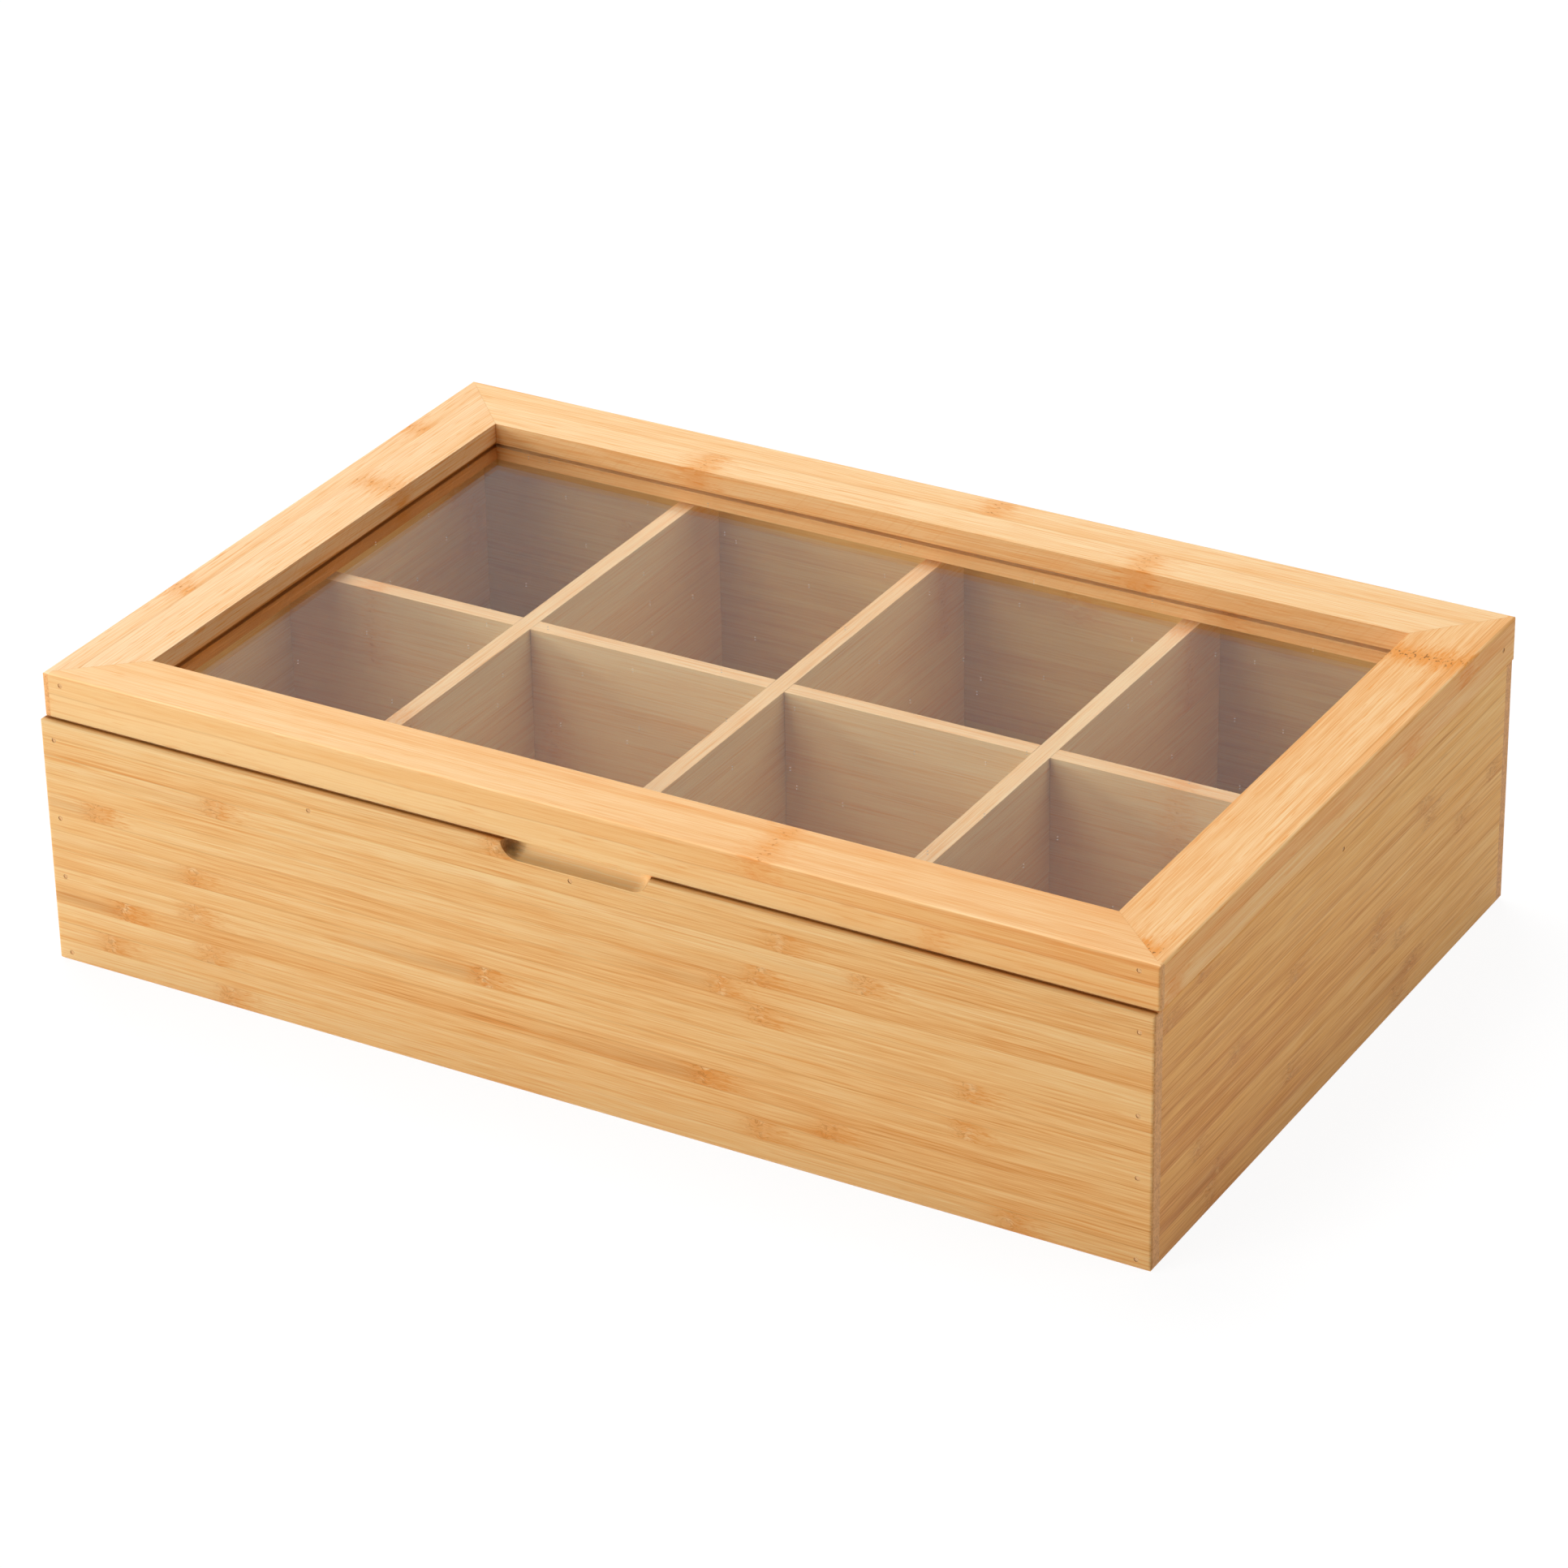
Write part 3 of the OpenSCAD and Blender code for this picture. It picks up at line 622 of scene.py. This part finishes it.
# Dividers, each with the place of its left or front face.
dividers = {
    "top": 69.9, "thickness": 5.0, "widths": [23.0, 24.0, 24.0], "tones": (0.28, 0.42),
    "reach": {"x": 140.0, "y": 90.0}, "seed": 20,
    "places": {"long_divider": ("x", -2.5), "cross_divider_left": ("y", -78.75),
               "cross_divider_middle": ("y", -2.5), "cross_divider_right": ("y", 73.75)},
}
for seed, (name, (along, face)) in enumerate(dividers["places"].items(), dividers["seed"]):
    strips = drawStrips(seed, dividers["widths"], dividers["reach"][along], dividers["tones"])
    dress(name, bamboo(name + "_bamboo", {
        "along": along, "across": "z", "start": dividers["top"], "step": -1.0, "face": face, "inward": 1.0,
        "layers": [(dividers["thickness"], strips)], "seed": float(seed), "flatGrain": True}))

floorPanel = {"front": -98.0, "top": 4.0, "thickness": 4.0, "widths": [18.0] * 11, "tones": (0.3, 0.55),
              "reach": 150.0, "seed": 30}
strips = drawStrips(floorPanel["seed"], floorPanel["widths"], floorPanel["reach"], floorPanel["tones"])
dress("floor_panel", bamboo("floor_bamboo", {
    "along": "x", "across": "y", "start": floorPanel["front"], "step": 1.0, "face": floorPanel["top"],
    "inward": -1.0, "layers": [(floorPanel["thickness"], strips)], "seed": float(floorPanel["seed"]),
    "flatGrain": True}))
print("dividers and floor done")

# Lid rails: two layers of wide strips, with a wavy glue line between them. Each rail has the place of its
# outer edge, the step from there towards the window, its width, its strips and its own look.
lid = {"top": 82.8, "upperLayer": 5.5, "lowerLayer": 6.5, "seamWave": 2.0, "sawMarks": 0.3, "seed": 40,
       "fibre": 0.8, "streak": 0.36, "lines": 0.45}
rails = {
    "front": {
        "along": "x", "across": "y", "edge": -100.7, "step": 1.0, "width": 18.5,
        "upper": [(18.5, (51, -170), 0.46, 0.5)],
        "lower": [(18.5, (99,), 0.20, 0.3)],
        # the slope and edge slope darken the front rail towards the right: partly its own tone, partly
        # painted shade of light falling from the left
        "look": {"slope": 0.0006, "edgeSlope": 0.0012, "edgeTint": (0.83, 0.76, 0.61, 1.0), "fibre": 0.6,
                 "hair": 0.5, "hairLines": 0.08, "lines": 0.3, "streak": 0.26}},
    "back": {
        "along": "x", "across": "y", "edge": 102.5, "step": -1.0, "width": 21.7,
        "upper": [(10.5, (11,), 0.26, 0.7), (11.2, (-72, 61), 0.18, 0.7)],
        "lower": [(10.5, (-40,), 0.25, 0.5), (11.2, (88,), 0.26, 0.6)],
        "look": {"edgeTint": (0.96, 0.89, 0.78, 1.0)}},
    "left": {
        "along": "y", "across": "x", "edge": -157.6, "step": 1.0, "width": 21.1,
        "upper": [(7.0, (68, -44), 0.32, 0.6), (14.1, (33,), 0.27, 0.6)],
        # painted shade: the lower inner strip's tone of 1.0 darkens the left rail's inner face below the pane
        "lower": [(7.0, (5,), 0.35, 0.5), (14.1, (-60,), 1.0, 0.5)],
        # painted light: the left rail's bluer light and middle colours stand for cooler light from the left
        "look": {"slope": 0.0009, "dashes": 0.65, "light": tint(252, 219, 175),
                 "middle": tint(248, 202, 148)}},
    "right": {
        "along": "y", "across": "x", "edge": 158.4, "step": -1.0, "width": 20.2,
        "upper": [(3.0, (72,), 0.60, 0.5), (17.2, (70, -95), 0.48, 1.0)],
        "lower": [(3.0, (37, -93), 0.44, 0.4), (17.2, (-20,), 0.40, 0.5)],
        "look": {"edgeTint": (0.98, 0.88, 0.66, 1.0), "joints": 1.4, "dashes": 0.8, "streak": 0.25}},
}


def mitresOf(rail):  # at both ends: the line's places at the lip and at the window, and the rail's width
    neighbours = ("left", "right") if rail["along"] == "x" else ("front", "back")
    mitres = []
    for other in (rails[side] for side in neighbours):
        atLip = other["edge"] + other["step"] * worked["lip"]
        atWindow = other["edge"] + other["step"] * other["width"]
        mitres.append((atLip, atWindow, rail["width"]))
    return mitres


for seed, (side, rail) in enumerate(rails.items(), lid["seed"]):
    name = "lid_" + side + "_rail"
    dress(name, bamboo(name + "_bamboo", {
        "along": rail["along"], "across": rail["across"], "start": rail["edge"], "step": rail["step"],
        "face": lid["top"], "inward": -1.0, "seed": float(seed), "flatGrain": True,
        "layers": [(lid["upperLayer"], rail["upper"]), (lid["lowerLayer"], rail["lower"])],
        "mitres": mitresOf(rail), "seamWave": lid["seamWave"], "sawMarks": lid["sawMarks"],
        "fibre": lid["fibre"], "streak": lid["streak"], "lines": lid["lines"], **rail["look"]}))
print("lid rails done")


pane = {"tint": (0.965, 0.975, 0.97, 1.0), "bend": 1.5, "throughLight": (0.97, 0.97, 0.97, 1.0),
        "smearPace": 0.02, "smearShows": (0.4, 0.7, 0.0, 0.002),  # how rough a wiped patch is
        "dust": 0.45, "dustSpacing": 24.0, "dustSize": (0.10, 0.28, 1.0, 0.0)}


def clearPane():
    finish, tree, shader = newFinish("clear_pane")
    shader.inputs["Base Color"].default_value = pane["tint"]
    shader.inputs["IOR"].default_value = pane["bend"]
    points = millimetres(tree)[0]
    smear = noise(tree, scaled(tree, points, pane["smearPace"]), 3.0)
    plug(tree, shader.inputs["Roughness"], ramp(tree, smear, *pane["smearShows"]))
    grid = addNode(tree, "TexVoronoi", voronoi_dimensions="2D")
    grid.inputs["Scale"].default_value = 1.0
    plug(tree, grid.inputs["Vector"], scaled(tree, points, 1 / pane["dustSpacing"]))
    fromSpeck = calc(tree, "MULTIPLY", grid.outputs["Distance"], pane["dustSpacing"])
    speck = ramp(tree, fromSpeck, *pane["dustSize"])
    plug(tree, shader.inputs["Transmission Weight"], calc(tree, "MULTIPLY_ADD", speck, -pane["dust"], 1.0))
    # Lamps and soft light pass straight through, so that the cells are lit as behind thin glass.
    straight = addNode(tree, "BsdfTransparent")
    straight.inputs[0].default_value = pane["throughLight"]
    path = addNode(tree, "LightPath")
    soft = calc(tree, "MAXIMUM", path.outputs["Is Shadow Ray"], path.outputs["Is Diffuse Ray"])
    mixShaders(tree, tree.nodes["Material Output"], soft, shader, straight)
    return finish


dress("window_pane", clearPane())
print("pane done")


metals = {
    "brad": {"name": "cut_wire", "bright": tint(226, 180, 126), "dull": tint(186, 136, 84),
             "rough": (0.40, 0.60), "scale": 3.0, "metallic": 0.6},
    "hinge": {"name": "nickel_plate", "bright": tint(208, 204, 196), "dull": tint(196, 191, 181),
              "rough": (0.26, 0.34), "scale": 0.12, "metallic": 1.0},
    "pin": {"name": "drawn_wire", "bright": tint(190, 188, 184), "dull": tint(140, 136, 130),
            "rough": (0.25, 0.42), "scale": 0.8, "metallic": 1.0},
    "screw": {"name": "plated_screw", "bright": tint(216, 212, 202), "dull": tint(160, 152, 138),
              "rough": (0.24, 0.45), "scale": 0.9, "metallic": 1.0},
}
brushing = {"along": 0.6, "across": 9.0, "bump": 0.15, "bumpMetres": 0.00003,  # fine scratches along X
            "patchShows": (0.38, 0.66), "roughShows": (0.35, 0.65)}


def metal(settings):
    finish, tree, shader = newFinish(settings["name"])
    points = millimetres(tree)[0]
    patch = noise(tree, scaled(tree, points, settings["scale"]), 3.0, 0.6)
    scratches = noise(tree, place(tree, calc(tree, "MULTIPLY", points[0], brushing["along"]),
                                  calc(tree, "MULTIPLY", points[1], brushing["across"]),
                                  calc(tree, "MULTIPLY", points[2], brushing["across"])))
    colour = blend(tree, ramp(tree, patch, *brushing["patchShows"]), settings["bright"], settings["dull"])
    tree.links.new(colour, shader.inputs["Base Color"])
    shader.inputs["Metallic"].default_value = settings["metallic"]
    both = calc(tree, "MULTIPLY_ADD", scratches, 0.5, calc(tree, "MULTIPLY", patch, 0.5))
    plug(tree, shader.inputs["Roughness"], ramp(tree, both, *brushing["roughShows"], *settings["rough"]))
    addBump(tree, shader, scratches, brushing["bump"], brushing["bumpMetres"])
    return finish


bradFinish = metal(metals["brad"])
hingeFinish = metal(metals["hinge"])
pinFinish = metal(metals["pin"])
screwFinish = metal(metals["screw"])
for name in nodes:
    if "_brad" in name:
        dress(name, bradFinish)
    elif "_screw_" in name:
        dress(name, screwFinish)
    elif name.endswith("_pin"):
        dress(name, pinFinish)
    elif name.endswith("_leaf"):
        dress(name, hingeFinish)
print("metal done")


studio = {
    "floorHalf": 6.0, "floorColour": (0.78, 0.78, 0.78, 1.0),
    "floorShown": (0.11, 0.11, 0.11, 1.0), "floorGlow": 0.92,
    "skyColour": (1.0, 1.0, 1.0, 1.0), "skyLight": 0.064,
    "skyLow": 0.93, "skyHigh": 0.5, "skyTurn": 0.5,  # the shown sky's strength, from the horizon upwards
}
# Lamps: degrees round from the front towards the right, degrees up, metres away and across, share of white,
# and the pieces that a lamp leaves out.
lamps = {
    "top": {"side": -130.0, "height": 66.0, "distance": 2.2, "size": 1.2, "strength": 0.71},
    "front": {"side": -42.0, "height": 9.0, "distance": 2.2, "size": 1.0, "strength": 0.67,
              "spares": ["window_pane"]},
    "right": {"side": 106.0, "height": 26.0, "distance": 1.6, "size": 0.9, "strength": 0.245,
              "spares": ["window_pane"]},
    "window": {"side": -20.0, "height": 35.0, "distance": 2.2, "size": 1.0, "strength": 0.32,
               "spares": ["front_panel", "window_pane"]},
}


def isShown(tree):  # 1 for the rays that show a background: straight, mirrored and through glass
    path = addNode(tree, "LightPath")
    either = calc(tree, "MAXIMUM", path.outputs["Is Camera Ray"], path.outputs["Is Glossy Ray"])
    return calc(tree, "MAXIMUM", either, path.outputs["Is Transmission Ray"])


def makeFloor():
    half = studio["floorHalf"]
    corners = [(-half, -half, 0), (half, -half, 0), (half, half, 0), (-half, half, 0)]
    mesh = bpy.data.meshes.new("floor")
    mesh.from_pydata(corners, [], [(0, 1, 2, 3)])
    floor = bpy.data.objects.new("floor", mesh)
    scene.collection.objects.link(floor)
    finish, tree, shader = newFinish("pale_floor")
    tree.nodes.remove(shader)
    lit = addNode(tree, "BsdfDiffuse")
    lit.inputs[0].default_value = studio["floorColour"]
    shown = addNode(tree, "BsdfDiffuse")
    shown.inputs[0].default_value = studio["floorShown"]
    glow = addNode(tree, "Emission")
    glow.inputs["Strength"].default_value = studio["floorGlow"]
    both = addNode(tree, "AddShader")
    tree.links.new(shown.outputs[0], both.inputs[0])
    tree.links.new(glow.outputs[0], both.inputs[1])
    mixShaders(tree, tree.nodes["Material Output"], isShown(tree), lit, both)
    mesh.materials.append(finish)


def makeSky():
    world = bpy.data.worlds.new("studio")
    scene.world = world
    world.use_nodes = True
    tree = world.node_tree
    tree.nodes.clear()
    soft = addNode(tree, "Background")
    soft.inputs["Color"].default_value = studio["skyColour"]
    soft.inputs["Strength"].default_value = studio["skyLight"]
    shown = addNode(tree, "Background")
    shown.inputs["Color"].default_value = studio["skyColour"]
    coordinate, split = addNode(tree, "TexCoord"), addNode(tree, "SeparateXYZ")
    tree.links.new(coordinate.outputs["Generated"], split.inputs[0])
    plug(tree, shown.inputs["Strength"],
         ramp(tree, split.outputs[2], 0.0, studio["skyTurn"], studio["skyLow"], studio["skyHigh"]))
    mixShaders(tree, addNode(tree, "OutputWorld"), isShown(tree), soft, shown)


def awayFrom(side, height):  # the direction this many degrees round from the front and up
    turn, rise = math.radians(side), math.radians(height)
    return Vector((math.sin(turn) * math.cos(rise), -math.cos(turn) * math.cos(rise), math.sin(rise)))


def makeLamp(name, lamp):
    light = bpy.data.lights.new(name, "AREA")
    light.size = lamp["size"]
    light.energy = lamp["strength"] * math.pi ** 2 * lamp["distance"] ** 2
    holder = bpy.data.objects.new(name, light)
    scene.collection.objects.link(holder)
    away = awayFrom(lamp["side"], lamp["height"])
    holder.location = away * lamp["distance"]
    holder.rotation_mode = "QUATERNION"
    holder.rotation_quaternion = away.to_track_quat("Z", "Y")
    if "spares" in lamp:
        spared = bpy.data.collections.new(name + "_spares")
        for piece in lamp["spares"]:
            spared.objects.link(nodes[piece])
        for entry in spared.collection_objects:
            entry.light_linking.link_state = "EXCLUDE"
        holder.light_linking.receiver_collection = spared


view = {"target": (-0.00864, 0.01579, 0.0331), "distance": 1.501, "side": 30.307, "height": 28.148,
        "roll": 1.0866, "lens": 132.03, "sensor": 36.0}


def makeCamera():
    camera = bpy.data.cameras.new("camera")
    camera.lens = view["lens"]
    camera.sensor_width = view["sensor"]
    holder = bpy.data.objects.new("camera", camera)
    scene.collection.objects.link(holder)
    away = awayFrom(view["side"], view["height"])
    roll = Quaternion((0, 0, 1), math.radians(-view["roll"]))
    holder.location = Vector(view["target"]) + away * view["distance"]
    holder.rotation_mode = "QUATERNION"
    holder.rotation_quaternion = away.to_track_quat("Z", "Y") @ roll
    scene.camera = holder


makeFloor()
makeSky()
for name, lamp in lamps.items():
    makeLamp(name, lamp)
makeCamera()
print("studio done")
